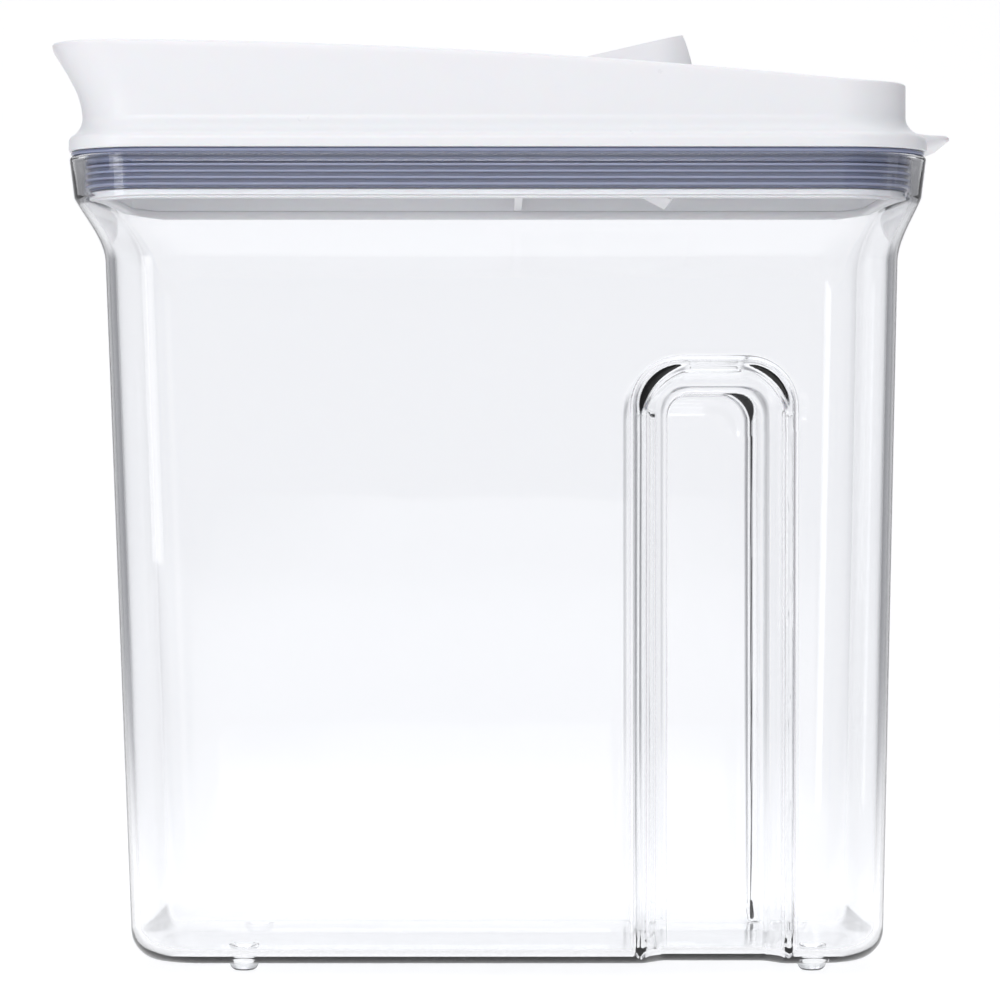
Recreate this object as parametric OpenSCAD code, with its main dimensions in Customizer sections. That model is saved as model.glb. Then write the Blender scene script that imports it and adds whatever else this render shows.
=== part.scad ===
// Cereal container with a flip spout.
// A clear moulded body with a wide neck, a white lid that plugs into the neck on a
// ribbed silicone gasket, and a rocker flap over the pouring throat: pressing the
// thumb tab down into its well lifts the flap off the spout.
// Origin: centre of the footprint, on the table. +X runs from the spout to the pull
// tab, +Z is up. Lengths are millimetres, angles are degrees.

/* [Neck] */
// Length of the neck outside, spout end to tab end
neck_length = 217.1; // [190:0.1:250]
// Width of the neck outside, across the container
neck_width = 127.6; // [112:0.2:160]
// Height of the neck's rim above the table
rim_height = 206.1; // [150:0.1:260]
// Height of the upright neck band
neck_height = 10.5; // [8:0.1:16]
// Wall thickness at the rim
neck_wall = 3.4; // [2.6:0.1:4]
// How far each outside face of the neck closes in over its height
neck_taper = 1.2; // [0.4:0.1:2]
// Plan radius of the neck's outside corners
neck_corner = 22; // [18:0.5:30]

/* [Body] */
// Wall thickness of the body
body_wall = 2.4; // [1.8:0.1:3]
// Thickness of the floor
floor_thickness = 3; // [2:0.1:5]
// Height of the curved shoulder under the neck
shoulder_height = 16.4; // [8:0.2:24]
// How far the shoulder steps in at the spout end
shoulder_front = 7.7; // [4:0.1:10]
// How far the shoulder steps in at the tab end
shoulder_back = 5.8; // [4:0.1:10]
// How far the shoulder steps in at each side
shoulder_side = 3.6; // [2.6:0.1:6]
// How far the spout end leans in from shoulder to base
draft_front = 6.3; // [2:0.1:10]
// How far the tab end leans in from shoulder to base
draft_back = 3.4; // [2:0.1:10]
// How far each side leans in from shoulder to base
draft_side = 2.6; // [1:0.1:6]
// Plan radius of the body's outside corners
body_corner = 20; // [14:0.5:24]
// Radius between the walls and the base
base_radius = 8; // [4:0.5:12]

/* [Feet] */
// Height of the moulded nubs under the base
foot_height = 2.4; // [1.5:0.1:4]
// Diameter of a nub where it leaves the base
foot_diameter = 7.6; // [5:0.2:12]
// Diameter of a nub's flat
foot_flat = 3.6; // [2:0.2:5]
// Distance of the front nubs from the spout end of the base
foot_front = 29; // [20:0.5:45]
// Distance of the back nubs from the tab end of the base
foot_back = 18.5; // [14:0.1:24]
// Distance of the nubs from each side of the base
foot_side = 16; // [13:0.5:30]

/* [Grip] */
// Distance of the grip recess from the tab end of the body
grip_back = 28.4; // [22:0.2:40]
// Length of the grip recess along the side
grip_length = 37.4; // [28:0.2:60]
// Depth of the grip recess
grip_depth = 8; // [4:0.5:12]
// Run of the recess's sloping sides
grip_slope = 6.8; // [3:0.2:10]
// Distance from the rim down to the top of the recess
grip_drop = 52.8; // [36:0.2:90]
// Radius of the recess's upper corners
grip_corner = 13; // [9:0.5:16]

/* [Lid] */
// Overhang of the lid's rim past the neck
lid_overhang = 0.2; // [0:0.1:1]
// Wall thickness of the lid shell
lid_wall = 2.2; // [1.8:0.1:3]
// Height of the lid shell at the spout
lid_height = 27.4; // [26:0.2:36]
// Height of the upright band at the lid's rim
lid_band = 3.5; // [2.5:0.1:5]
// Radius of the hollow between the band and the wall
lid_hollow = 5.5; // [5.4:0.1:8]
// How far the wall stands in from the band at the spout end
lid_in_front = 3.5; // [2.5:0.1:5]
// How far the wall stands in from the band at the tab end
lid_in_back = 5.4; // [4:0.1:7]
// How far the wall stands in from the band at each side
lid_in_side = 4; // [3:0.1:5]
// Radius of the lid's long, gentle crown
crown_radius = 2050; // [1500:10:4000]
// Length at the tab end over which the top of the wall runs level
crown_level = 18; // [0:1:40]
// Rounding of the wall's top edge
lid_edge = 0.9; // [0.5:0.1:1.1]

/* [Spout] */
// Reach of the spout past the neck, at the middle of the lip
spout_reach = 6.1; // [4:0.1:14]
// How far the lip bows out at its middle
spout_bow = 1.7; // [1:0.1:4]
// Radius of the curve that starts the spout
spout_radius = 21; // [14:1:36]

/* [Pull tab] */
// Reach of the pull tab past the neck
tab_reach = 7.7; // [6:0.1:16]
// Width of the pull tab at its root
tab_width = 60; // [36:1:80]
// Thickness of the pull tab at its lip
tab_lip = 1.2; // [1:0.1:2]
// Thickness of the pull tab where it leaves the lid's band
tab_root = 4; // [2:0.1:4.4]
// Height of the tab's top above the bottom of the lid
tab_rise = 5.5; // [4.6:0.1:6]
// Height of the hollow between the tab's top and the lid's wall
tab_fillet = 3.1; // [2:0.1:5]

/* [Lid frame and seals] */
// Depth that the plug reaches into the neck, above its retainer ring
plug_depth = 8.6; // [8.2:0.1:11]
// Wall thickness of the plug
plug_wall = 2.4; // [1.6:0.1:3]
// Space between the neck and the plug, filled by the gasket
plug_space = 2.8; // [2:0.1:3.6]
// Thickness of the frame's flange
flange_thickness = 2.2; // [1.6:0.1:3]
// Thickness of the gasket's cushion on the rim
cushion = 1.2; // [0.8:0.1:2]
// Number of sealing ribs on the neck gasket
rib_count = 4; // [2:1:4]
// Spacing of the sealing ribs
rib_pitch = 1.6; // [1.4:0.1:1.8]
// How far a rib stands out of the gasket
rib_height = 0.9; // [0.5:0.1:1.2]
// Height of the white retainer ring under the gasket
retainer_height = 2.4; // [1.8:0.1:3]
// How far the retainer ring stands in from the neck
retainer_inset = 1.6; // [1.5:0.1:2.2]
// Height of the throat's top edge above the bottom of the lid
throat_rise = 7.4; // [6:0.1:9]

/* [Flap] */
// Distance from the neck's spout end back to the hinge axis
hinge_back = 121; // [100:0.5:130]
// Height of the hinge axis above the bottom of the lid
hinge_rise = 15.6; // [14.6:0.1:17.4]
// How far the flap and the deck lie below the top of the wall
flap_recess = 2.4; // [1.5:0.1:4]
// Thickness of the flap and of the rear deck
flap_thickness = 2.4; // [1.8:0.1:3]
// Gap between the flap and what surrounds it
flap_gap = 0.8; // [0.5:0.1:1.5]
// Wall thickness of the flap's plug
flap_plug_wall = 1.8; // [1.4:0.1:2.4]
// Space between the throat and the flap's plug
flap_plug_gap = 0.9; // [0.7:0.1:1.2]
// Diameter of the hinge pins
pin_diameter = 3; // [2:0.1:4]
// Length of a hinge pin
pin_length = 11; // [8:0.5:20]
// Angle that the flap opens to
flap_open = 50; // [30:1:52]

/* [Thumb tab] */
// Width of the thumb tab
thumb_width = 44; // [28:1:60]
// Distance from the hinge axis to the end of the thumb tab
thumb_length = 38.8; // [30:0.2:40]
// Slope of the thumb tab's top
thumb_slope = 12.9; // [6:0.1:16]
// Height of the thumb tab's top above the hinge axis, at the axis
thumb_lift = 8.2; // [6.4:0.1:9]
// Length of the ramp from the flap's top up to the thumb tab, ahead of the hinge axis
thumb_ramp = 11; // [8:0.5:16]
// Plan radius of the thumb tab's corners
thumb_corner = 10; // [4:0.5:14]
// Wall thickness of the thumb tab, which is hollow underneath
thumb_wall = 2.2; // [1.6:0.1:3]
// Clearance round the thumb tab in its well
well_gap = 0.8; // [0.6:0.1:1.5]
// Wall thickness of the well
well_wall = 2; // [1.4:0.1:2.6]

/* [Hidden] */
$fn = 48;

// Colours
clear_plastic = [0.86, 0.9, 0.94, 0.35];
white_plastic = "white";
slate_silicone = "#6f7c9c";
pin_steel = "silver";

// Clearances
seat_gap = 0.05;     // flat faces that rest on each other
weld_gap = 0.2;      // moulding inside moulding
rib_gap = 0.3;       // a sealing rib's tip from the wall that it seals on
pin_fit = 0.05;      // radial clearance of a pin in the flap
press_fit = 0.01;    // radial clearance of a pin in the frame
past = 1;            // how far a cutter runs past what it cuts
far_out = 400;       // larger than the object, for cutting planes

// Where the ends lie, along X
whole_length = spout_reach + neck_length + tab_reach;
neck_x0 = -whole_length / 2 + spout_reach;
neck_x1 = neck_x0 + neck_length;
spout_tip = -whole_length / 2;
tab_tip = whole_length / 2;

// Heights of the container
neck_z = rim_height - neck_height;
shoulder_z = neck_z - shoulder_height;
floor_z = foot_height + floor_thickness;

// Heights and extents of the lid
lid_z = rim_height + cushion + 2 * seat_gap;
crown_top = lid_z + lid_height;
crown_x = spout_tip;
crown_end_x = neck_x1 - crown_level;
hollow_angle = acos(1 - lid_in_front / lid_hollow);
wall_z = lid_z + lid_band + lid_hollow * sin(hollow_angle);
spout_z = wall_z - 1.2;                       // where the front wall starts to lean out
lip_flare = spout_reach + lid_in_front - lid_overhang - spout_bow;
shell_gap = lid_wall + weld_gap;

// Heights of the frame
plug_z = rim_height - plug_depth;
flange_z = lid_z;
throat_z = lid_z + throat_rise;
hinge_x = neck_x0 + hinge_back;
hinge_z = lid_z + hinge_rise;
barrel_radius = tidy(crown_height(hinge_x) - flap_recess - hinge_z);
cradle_gap = 0.6;
cradle_inner = barrel_radius + cradle_gap;
cradle_outer = cradle_inner + well_wall;
throat_x1 = hinge_x - cradle_outer;

// Measured values are rounded to hundredths, so that arcs meet the lines they touch
function tidy(v) = round(v * 100) / 100;

// Plan outlines: [front x, back x, half width, front radius, back radius]
function grown(o, d) = [o[0] - d, o[1] + d, o[2] + d, o[3] + d, o[4] + d];
neck_out = [neck_x0, neck_x1, neck_width / 2, neck_corner, neck_corner];
neck_in = grown(neck_out, -neck_wall);
plug_out = grown(neck_in, -plug_space);
plug_in = grown(plug_out, -plug_wall);
lid_rim = grown(neck_out, lid_overhang);
lid_side = [lid_rim[0] + lid_in_front, lid_rim[1] - lid_in_back, lid_rim[2] - lid_in_side,
            lid_rim[3] - lid_in_side, lid_rim[4] - lid_in_side];
frame_out = grown(lid_side, -shell_gap);
flange_out = grown(lid_rim, -shell_gap);
tub = [plug_in[0] + flap_plug_gap + 0.2, throat_x1 - flap_plug_gap + 0.3,
       plug_in[2] - flap_plug_gap, plug_in[3] - flap_plug_gap, 4];

// ---------- curves and outlines ----------

// Height of the crown, the top of the lid's wall, at x: an arc, then level at the tab end
function crown_height(x) =
    crown_top - crown_radius + sqrt(pow(crown_radius, 2) - pow(min(x, crown_end_x) - crown_x, 2));

// How far the front wall has leaned out at a height above the start of the spout
spout_angle = 28;
spout_run = spout_radius * sin(spout_angle);
function raw_flare(h) =
    h <= 0 ? 0
    : h < spout_run ? spout_radius - sqrt(pow(spout_radius, 2) - h * h)
    : spout_radius * (1 - cos(spout_angle)) + (h - spout_run) * tan(spout_angle);
function flare(h) = lip_flare * raw_flare(h) / raw_flare(crown_top - spout_z);

function mix(a, b, t) = a + (b - a) * t;
function corner(cx, cy, r, from, steps) =
    [for (i = [1:steps - 1]) let (a = from + 90 * i / steps) [cx + r * cos(a), cy + r * sin(a)]];

// Points round a plan outline, anticlockwise from the near front corner. The front
// edge bows out by `bow`.
function ring(o, steps, side_steps, bow = 0) = concat(
    [for (i = [0:side_steps]) [mix(o[0] + o[3], o[1] - o[4], i / side_steps), -o[2]]],
    corner(o[1] - o[4], o[4] - o[2], o[4], -90, steps),
    [for (i = [0:2]) [o[1], mix(o[4] - o[2], o[2] - o[4], i / 2)]],
    corner(o[1] - o[4], o[2] - o[4], o[4], 0, steps),
    [for (i = [0:side_steps]) [mix(o[1] - o[4], o[0] + o[3], i / side_steps), o[2]]],
    corner(o[0] + o[3], o[2] - o[3], o[3], 90, steps),
    [for (i = [0:6]) let (y = mix(o[2] - o[3], o[3] - o[2], i / 6))
        [o[0] - bow * (1 - pow(y / (o[2] - o[3]), 2)), y]],
    corner(o[0] + o[3], o[3] - o[2], o[3], 180, steps));

function level(o, z, steps, side_steps = 1) = [for (p = ring(o, steps, side_steps)) [p[0], p[1], z]];

// Triangles between each ring and the next
function band_faces(rings, n, looped) = [
    for (k = [0:rings - (looped ? 1 : 2)]) for (i = [0:n - 1])
        let (a = k * n + i, b = k * n + (i + 1) % n,
             c = ((k + 1) % rings) * n + i, d = ((k + 1) % rings) * n + (i + 1) % n)
        each [[a, c, b], [b, c, d]]];

// A solid through rings that climb from the first to the last
module loft(rings) {
    n = len(rings[0]);
    last = (len(rings) - 1) * n;
    polyhedron(
        points = [for (r = rings) each r],
        faces = concat([[for (i = [0:n - 1]) i]], band_faces(len(rings), n, false),
                       [[for (i = [n - 1:-1:0]) last + i]]),
        convexity = 8);
}

// A closed band whose last ring joins its first
module loop_loft(rings) {
    polyhedron(points = [for (r = rings) each r],
               faces = band_faces(len(rings), len(rings[0]), true), convexity = 8);
}

// A plan outline as a flat shape with true arcs
module plan(o) {
    polygon([[o[0] + o[3], -o[2]], [o[1] - o[4], -o[2]], [o[1], o[4] - o[2]], [o[1], o[2] - o[4]],
             [o[1] - o[4], o[2]], [o[0] + o[3], o[2]], [o[0], o[2] - o[3]], [o[0], o[3] - o[2]]]);
    for (s = [-1, 1]) {
        translate([o[0] + o[3], s * (o[2] - o[3])]) circle(o[3]);
        translate([o[1] - o[4], s * (o[2] - o[4])]) circle(o[4]);
    }
}

module slab(o, z0, z1) {
    translate([0, 0, z0]) linear_extrude(z1 - z0) plan(o);
}

module wall_ring(outer, inner, z0, z1) {
    difference() {
        slab(outer, z0, z1);
        slab(inner, z0 - past, z1 + past);
    }
}

// Everything below the crown, lowered by `drop`
module under_crown(drop) {
    rotate([90, 0, 0]) linear_extrude(far_out, center = true) intersection() {
        translate([crown_x, crown_top - crown_radius]) circle(crown_radius - drop, $fn = 1440);
        translate([-far_out / 2, 0]) square(far_out);
    }
}

// A cylinder on the hinge axis
module on_hinge(r, width) {
    translate([hinge_x, 0, hinge_z]) rotate([90, 0, 0]) cylinder(r = r, h = width, center = true);
}

// The half space above a line through the hinge axis, moved `offset` across it and
// rising towards the tab end by `angle`
module above_line(angle, offset) {
    translate([hinge_x, 0, hinge_z]) rotate([0, -angle, 0])
        translate([-far_out / 2, -far_out / 2, offset]) cube(far_out);
}

// ---------- container ----------

neck_foot = grown(neck_out, -neck_taper);
body_top = [neck_foot[0] + shoulder_front, neck_foot[1] - shoulder_back,
            neck_foot[2] - shoulder_side, body_corner, body_corner];
body_base = [body_top[0] + draft_front, body_top[1] - draft_back, body_top[2] - draft_side,
             body_corner, body_corner];
inner_top = grown(body_top, -body_wall);
inner_base = grown(body_base, -body_wall);
inner_radius = base_radius - body_wall;
shoulder_steps = 6;
base_steps = 4;

// Rings that round the base over from its flat to its walls
function base_rings(o, z, r, steps) = [
    for (i = [0:base_steps]) let (a = 90 * i / base_steps)
        level(grown(o, -r * (1 - sin(a))), z + r * (1 - cos(a)), steps)];

// Rings that swell from the body out to the neck, on a curve that starts softly under it
shoulder_ease = 0.25;
function shoulder_share(t) = mix(sin(90 * t), t * t * (3 - 2 * t), shoulder_ease);
function shoulder_rings(body, neck, z0, z1, steps) = [
    for (i = [shoulder_steps:-1:0]) let (s = shoulder_share(i / shoulder_steps))
        level([for (k = [0:4]) mix(neck[k], body[k], s)], mix(z1, z0, i / shoulder_steps), steps)];

function container_rings(base, body, neck, mouth, z0, r, neck_foot_z, top, steps) = concat(
    base_rings(base, z0, r, steps),
    shoulder_rings(body, neck, shoulder_z, neck_foot_z, steps),
    [level(mouth, top, steps)]);

// The grip recess as a solid that tapers inwards from one side of the body;
// `skin` grows it by a wall's thickness
module grip_taper(side, skin) {
    lean = atan(draft_side / (shoulder_z - foot_height));
    x1 = body_top[1] - grip_back + skin;
    x0 = x1 - grip_length - 2 * skin;
    top = rim_height - grip_drop + skin;
    spread = grip_slope / grip_depth * past;
    module face(inset, depth) {
        for (x = [x0 + grip_corner + inset, x1 - grip_corner - inset])
            translate([x, depth, 0]) {
                translate([0, 0, top - grip_corner - inset]) rotate([90, 0, 0])
                    cylinder(r = grip_corner, h = 0.01, center = true);
                translate([0, 0, -past - grip_corner])
                    cube([2 * grip_corner, 0.01, 0.02], center = true);
            }
    }
    scale([1, side, 1]) translate([0, -body_top[2], shoulder_z]) rotate([lean, 0, 0])
        translate([0, 0, -shoulder_z]) hull() {
            face(-spread, -past);
            face(grip_slope, grip_depth + skin);
        }
}

// A domed nub with a small flat
module foot() {
    hull() {
        cylinder(d = foot_flat, h = 0.3);
        translate([0, 0, foot_height * 0.4]) cylinder(d = mix(foot_flat, foot_diameter, 0.8), h = 0.1);
        translate([0, 0, foot_height]) cylinder(d = foot_diameter, h = floor_thickness / 2);
    }
}

module container() {
    color(clear_plastic) difference() {
        union() {
            difference() {
                loft(container_rings(body_base, body_top, neck_foot, neck_out, foot_height, base_radius,
                                     neck_z, rim_height, 8));
                for (side = [-1, 1]) grip_taper(side, 0);
            }
            for (x = [body_base[0] + foot_front, body_base[1] - foot_back], side = [-1, 1])
                translate([x, side * (body_base[2] - foot_side), 0]) foot();
        }
        difference() {
            loft(concat(container_rings(inner_base, inner_top, neck_in, neck_in, floor_z, inner_radius,
                                        neck_z - seat_gap, rim_height, 8),
                        [level(neck_in, rim_height + past, 8)]));
            for (side = [-1, 1]) grip_taper(side, body_wall);
        }
    }
}

// ---------- lid shell ----------

hollow_steps = 5;
wall_steps = 6;
shell_corner_steps = 7;
shell_side_steps = 8;

// Outline of the shell's skin: `share` is 0 at the band and 1 at the wall, `skin` is
// how far inside the outer face it lies, `out` how far the spout leans out
function shell_outline(share, skin, out) =
    [mix(lid_rim[0], lid_side[0], share) + skin - out, mix(lid_rim[1], lid_side[1], share) - skin,
     mix(lid_rim[2], lid_side[2], share) - skin, mix(lid_rim[3], lid_side[3], share) - skin,
     mix(lid_rim[4], lid_side[4], share) - skin];

// Rings of the hollow between the band and the wall, bottom to top
function hollow_rings(skin) = [
    for (i = [0:hollow_steps])
        let (a = hollow_angle * (1 - i / hollow_steps),
             share = 1 - (1 - cos(a)) / (1 - cos(hollow_angle)))
        [for (p = ring(shell_outline(share, skin, 0), shell_corner_steps, shell_side_steps))
            [p[0], p[1], wall_z - lid_hollow * sin(a)]]];

// One ring of the wall, `up` of the way to the level that lies `below` the crown
function wall_ring_points(up, skin, below) =
    let (out = flare(mix(wall_z, crown_top, up) - spout_z),
         bow = spout_bow * out / lip_flare)
    [for (p = ring(shell_outline(1, skin, out), shell_corner_steps, shell_side_steps, bow))
        [p[0], p[1], mix(wall_z, crown_height(p[0]) - below, up)]];

function edge_rings() = [
    for (i = [0:4]) let (a = 180 * i / 4)
        wall_ring_points(1, lid_wall / 2 - lid_wall / 2 * cos(a), lid_edge * (1 - sin(a)))];

function flat_ring(skin, z) = [
    for (p = ring(shell_outline(0, skin, 0), shell_corner_steps, shell_side_steps)) [p[0], p[1], z]];

// The pull tab: a blade with round edges and corners. Its top sweeps up into the wall.
module pull_tab() {
    tip = tab_tip - tab_lip / 2;
    blade = tip - lid_rim[1];
    root = lid_in_back + tab_lip / 2;
    stations = [for (k = [-0.98, -0.88, -0.68, -0.36]) lid_rim[1] + k * root,
                for (k = [0, 0.25, 0.5, 0.75, 0.92, 1]) lid_rim[1] + k * blade];
    module slice(x) {
        out = (x - lid_rim[1]) / blade;
        sweep = tab_fillet * (1 - sqrt(1 - pow(min(0, x - lid_rim[1]) / root, 2)));
        inset = max(0, out - 0.2);
        half = tab_width / 2 - blade * (1 - sqrt(1 - inset * inset)) - tab_lip / 2;
        thick = mix(tab_root, tab_lip, max(0, out));
        hull() for (s = [-1, 1], z = [tab_rise - tab_lip / 2 + sweep, tab_rise + tab_lip / 2 - thick])
            translate([x, s * half, lid_z + z]) sphere(d = tab_lip, $fn = 12);
    }
    for (i = [1:len(stations) - 1]) hull() {
        slice(stations[i - 1]);
        slice(stations[i]);
    }
}

module lid_shell() {
    color(white_plastic) {
        loop_loft(concat(
            [flat_ring(0, lid_z)], hollow_rings(0),
            [for (i = [1:wall_steps]) wall_ring_points(i / wall_steps, 0, 2 * lid_edge)],
            edge_rings(),
            [for (i = [wall_steps:-1:1]) wall_ring_points(i / wall_steps, lid_wall, 2 * lid_edge)],
            [for (i = [hollow_steps:-1:0]) hollow_rings(lid_wall)[i]],
            [flat_ring(lid_wall, lid_z)]));
        // the tab starts inside the thickness of the shell
        difference() {
            pull_tab();
            loft(concat([flat_ring(lid_wall / 2, lid_z - past)], hollow_rings(lid_wall / 2),
                        [flat_ring(lid_in_back + lid_wall / 2, crown_top)]));
        }
    }
}

// ---------- lid frame ----------

well_half = thumb_width / 2 + well_gap;
thumb_bottom = thumb_slope + 8;
well_line = thumb_bottom - flap_open;

// The space that the thumb tab sweeps, grown by `skin`
module well_space(skin) {
    intersection() {
        on_hinge(thumb_length + well_gap + skin, 2 * (well_half + skin));
        above_line(well_line, -(barrel_radius + cradle_gap / 2 + skin));
        translate([hinge_x - cradle_inner, -far_out / 2, 0]) cube(far_out);
    }
}

module lid_frame() {
    color(white_plastic) difference() {
        union() {
            wall_ring(plug_out, plug_in, plug_z, flange_z + flange_thickness);
            wall_ring(flange_out, plug_in, flange_z, flange_z + flange_thickness);
            wall_ring(frame_out, plug_in, flange_z, throat_z);
            // upper walls and deck behind the throat
            intersection() {
                difference() {
                    slab(frame_out, flange_z, crown_top);
                    difference() {
                        slab(plug_in, flange_z - past, crown_top + past);
                        difference() {
                            translate([hinge_x, -far_out / 2, 0]) cube(far_out);
                            under_crown(flap_recess + flap_thickness);
                        }
                    }
                }
                translate([throat_x1, -far_out / 2, 0]) cube(far_out);
                under_crown(flap_recess);
            }
            // bulkhead behind the throat, and the cradle under the flap's barrel
            translate([throat_x1, -plug_in[2] - past, plug_z])
                cube([well_wall, 2 * (plug_in[2] + past), hinge_z - plug_z]);
            intersection() {
                difference() {
                    on_hinge(cradle_outer, 2 * (plug_in[2] + past));
                    translate([hinge_x - far_out, -far_out / 2, hinge_z]) cube(far_out);
                }
                under_crown(flap_recess);
            }
            intersection() {
                well_space(well_wall);
                under_crown(flap_recess);
            }
        }
        on_hinge(cradle_inner, 2 * plug_in[2]);
        translate([hinge_x - cradle_inner, -plug_in[2], hinge_z])
            cube([cradle_inner, 2 * plug_in[2], far_out]);
        well_space(0);
        on_hinge(pin_diameter / 2 + press_fit, far_out);
    }
}

module gasket_retainer() {
    color(white_plastic)
        wall_ring(grown(neck_in, -retainer_inset), plug_in, plug_z - retainer_height, plug_z - seat_gap);
}

// ---------- seals ----------

function rib_levels(first) = [
    for (k = [0:rib_count - 1], step = [[-0.34, 0], [-0.16, 1], [0.16, 1], [0.34, 0]])
        [first + (k + step[0]) * rib_pitch, step[1]]];

module neck_gasket() {
    root = rib_gap + rib_height;
    bottom = plug_z + seat_gap;
    top = rim_height + seat_gap;
    first = bottom + rib_pitch * 0.6;
    hug = -plug_space + 0.12;
    color(slate_silicone) loop_loft(concat(
        [level(grown(neck_in, -root), bottom, 7)],
        [for (r = rib_levels(first)) level(grown(neck_in, -root + rib_height * r[1]), r[0], 7)],
        [level(grown(neck_in, -root), top, 7),
         level(grown(neck_out, -rib_gap), top, 7),
         level(grown(neck_out, -rib_gap), top + cushion, 7),
         level(grown(neck_in, hug), top + cushion, 7),
         level(grown(neck_in, hug), bottom, 7)]));
}

// ---------- flap ----------

panel_flare = flare(crown_top - flap_recess - flap_thickness - spout_z);
panel_front = lid_side[0] + lid_wall * 1.1 - panel_flare + flap_gap;
panel_bow = spout_bow * panel_flare / lip_flare;
panel = [panel_front - panel_bow, hinge_x + neck_corner, frame_out[2] + weld_gap - flap_gap,
         lid_side[3] - lid_wall + flap_gap, lid_side[4]];
barrel_half = plug_in[2] - cradle_gap;
ear_gap = 1.8;                // flap's rear corners from the frame's ears, to pass them as it opens
bow_radius = (pow(panel[2] - panel[3], 2) + pow(panel_bow, 2)) / (2 * panel_bow);
seal_z = throat_z - 4.2;      // bottom of the spout gasket's channel
seal_height = 3.4;
seal_depth = 1.1;

module flap_cover() {
    color(white_plastic) difference() {
        union() {
            difference() {
                intersection() {
                    slab(panel, throat_z, crown_top);
                    translate([panel[0] + bow_radius, 0, 0])
                        cylinder(r = bow_radius, h = far_out, $fn = 200);
                    under_crown(flap_recess);
                }
                under_crown(flap_recess + flap_thickness);
                // behind the hinge axis, and the corners beside the frame's ears
                translate([hinge_x, -far_out / 2, 0]) cube(far_out);
                for (y = [barrel_half, -barrel_half - far_out])
                    translate([throat_x1 - ear_gap, y, 0]) cube(far_out);
            }
            on_hinge(barrel_radius, 2 * barrel_half);
            thumb_tab();
        }
        for (s = [-1, 1])
            translate([hinge_x, s * barrel_half, hinge_z]) rotate([90, 0, 0])
                cylinder(d = pin_diameter + 2 * pin_fit, h = 2 * (pin_length - plug_wall),
                         center = true);
    }
}

// The rocker's thumb tab: an upward wedge, hollow underneath, whose end is round
// about the hinge. `skin` shrinks it by a wall's thickness.
module thumb_wedge(skin) {
    difference() {
        intersection() {
            on_hinge(thumb_length - skin, thumb_width - 2 * skin);
            slab([hinge_x + (skin > 0 ? barrel_radius + skin : 0), hinge_x + thumb_length - skin,
                  thumb_width / 2 - skin, 1, thumb_corner - skin], 0, far_out);
            above_line(thumb_bottom, skin > 0 ? -barrel_radius - past : -barrel_radius);
        }
        above_line(thumb_slope, thumb_lift * cos(thumb_slope) - skin);
    }
}

module thumb_tab() {
    difference() {
        thumb_wedge(0);
        thumb_wedge(thumb_wall);
    }
    // the wedge runs over the barrel and down a ramp into the top of the flap
    difference() {
        union() {
            translate([hinge_x - barrel_radius, -thumb_width / 2, hinge_z])
                cube([barrel_radius + past, thumb_width, thumb_lift + past]);
            difference() {
                translate([hinge_x - thumb_ramp, -thumb_width / 2, hinge_z])
                    cube([thumb_ramp, thumb_width, thumb_lift]);
                under_crown(flap_recess + flap_thickness / 2);
            }
        }
        above_line(thumb_slope, thumb_lift * cos(thumb_slope));
    }
}

module flap_plug() {
    bottom = lid_z + 1.6;
    color(white_plastic) difference() {
        intersection() {
            slab(tub, bottom, crown_top);
            under_crown(flap_recess + flap_thickness + seat_gap);
        }
        slab(grown(tub, -flap_plug_wall), bottom + flap_plug_wall, crown_top + past);
        wall_ring(grown(tub, past), grown(tub, -seal_depth), seal_z, seal_z + seal_height);
    }
}

module spout_gasket() {
    color(slate_silicone) {
        wall_ring(grown(tub, 0.1), grown(tub, -seal_depth + seat_gap),
                  seal_z + seat_gap, seal_z + seal_height - seat_gap);
    }
}

module hinge_pin(side) {
    color(pin_steel)
        translate([hinge_x, side * (frame_out[2] - pin_length / 2), hinge_z])
            rotate([90, 0, 0]) cylinder(d = pin_diameter, h = pin_length, center = true);
}

container();
lid_shell();
lid_frame();
gasket_retainer();
neck_gasket();
flap_cover();
flap_plug();
spout_gasket();
hinge_pin(-1);  // hinge_pin_near
hinge_pin(1);  // hinge_pin_far
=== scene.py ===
import math

import bmesh
import bpy
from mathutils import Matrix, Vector


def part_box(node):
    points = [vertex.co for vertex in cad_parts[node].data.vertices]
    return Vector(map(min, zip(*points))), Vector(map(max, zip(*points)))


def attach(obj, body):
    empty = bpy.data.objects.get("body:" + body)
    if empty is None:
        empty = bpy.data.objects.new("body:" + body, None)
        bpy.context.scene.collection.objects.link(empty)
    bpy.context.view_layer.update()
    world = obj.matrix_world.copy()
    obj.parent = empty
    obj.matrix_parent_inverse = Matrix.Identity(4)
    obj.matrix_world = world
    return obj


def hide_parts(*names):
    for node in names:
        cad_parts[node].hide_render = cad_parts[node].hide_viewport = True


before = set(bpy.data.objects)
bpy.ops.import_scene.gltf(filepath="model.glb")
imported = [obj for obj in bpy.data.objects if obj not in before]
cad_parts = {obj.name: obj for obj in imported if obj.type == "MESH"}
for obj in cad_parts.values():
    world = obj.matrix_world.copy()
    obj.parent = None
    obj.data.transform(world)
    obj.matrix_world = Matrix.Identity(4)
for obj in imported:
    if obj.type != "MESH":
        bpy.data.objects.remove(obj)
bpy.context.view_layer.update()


# ---------------------------------------------------------------------------
# Container
# One clear moulding: a drafted body with soft corners, a finger recess in each
# long side, a curved shoulder, an upright neck and four nubs under the base.
# ---------------------------------------------------------------------------

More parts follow.
